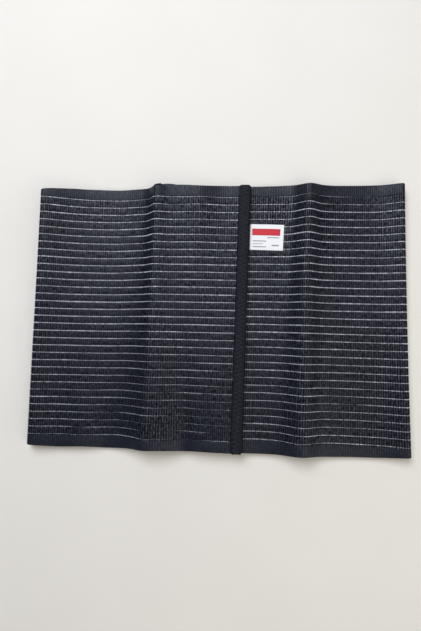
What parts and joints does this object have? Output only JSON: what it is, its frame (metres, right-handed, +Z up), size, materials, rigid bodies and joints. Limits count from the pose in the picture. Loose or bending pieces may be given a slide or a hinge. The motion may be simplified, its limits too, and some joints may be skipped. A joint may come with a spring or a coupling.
{
  "type": "abdominal binder",
  "caption": "Wide openwork elastic belly support, wrapped into a flattened loop with bound ends, a hook tape closure and a plain label.",
  "frame": {"origin": "on the table under the middle of the binder's box", "axes": "+X along the wrap, to the right as seen from above; +Y up the web's height, towards the top edge; +Z up from the table"},
  "size_m": [0.3749, 0.2657, 0.0227],
  "materials": {
    "elastic_web": "ribbed elastic, matt",
    "binding_tape": "woven tape, matt",
    "hook_tape": "moulded nylon hooks, matt",
    "woven_label": "woven satin label"
  },
  "bodies": {
    "root": {"elastic_web": "elastic_web", "outer_end_binding": "binding_tape", "inner_end_binding": "binding_tape", "hook_tape": "hook_tape", "label": "woven_label"}
  },
  "joints": []
}
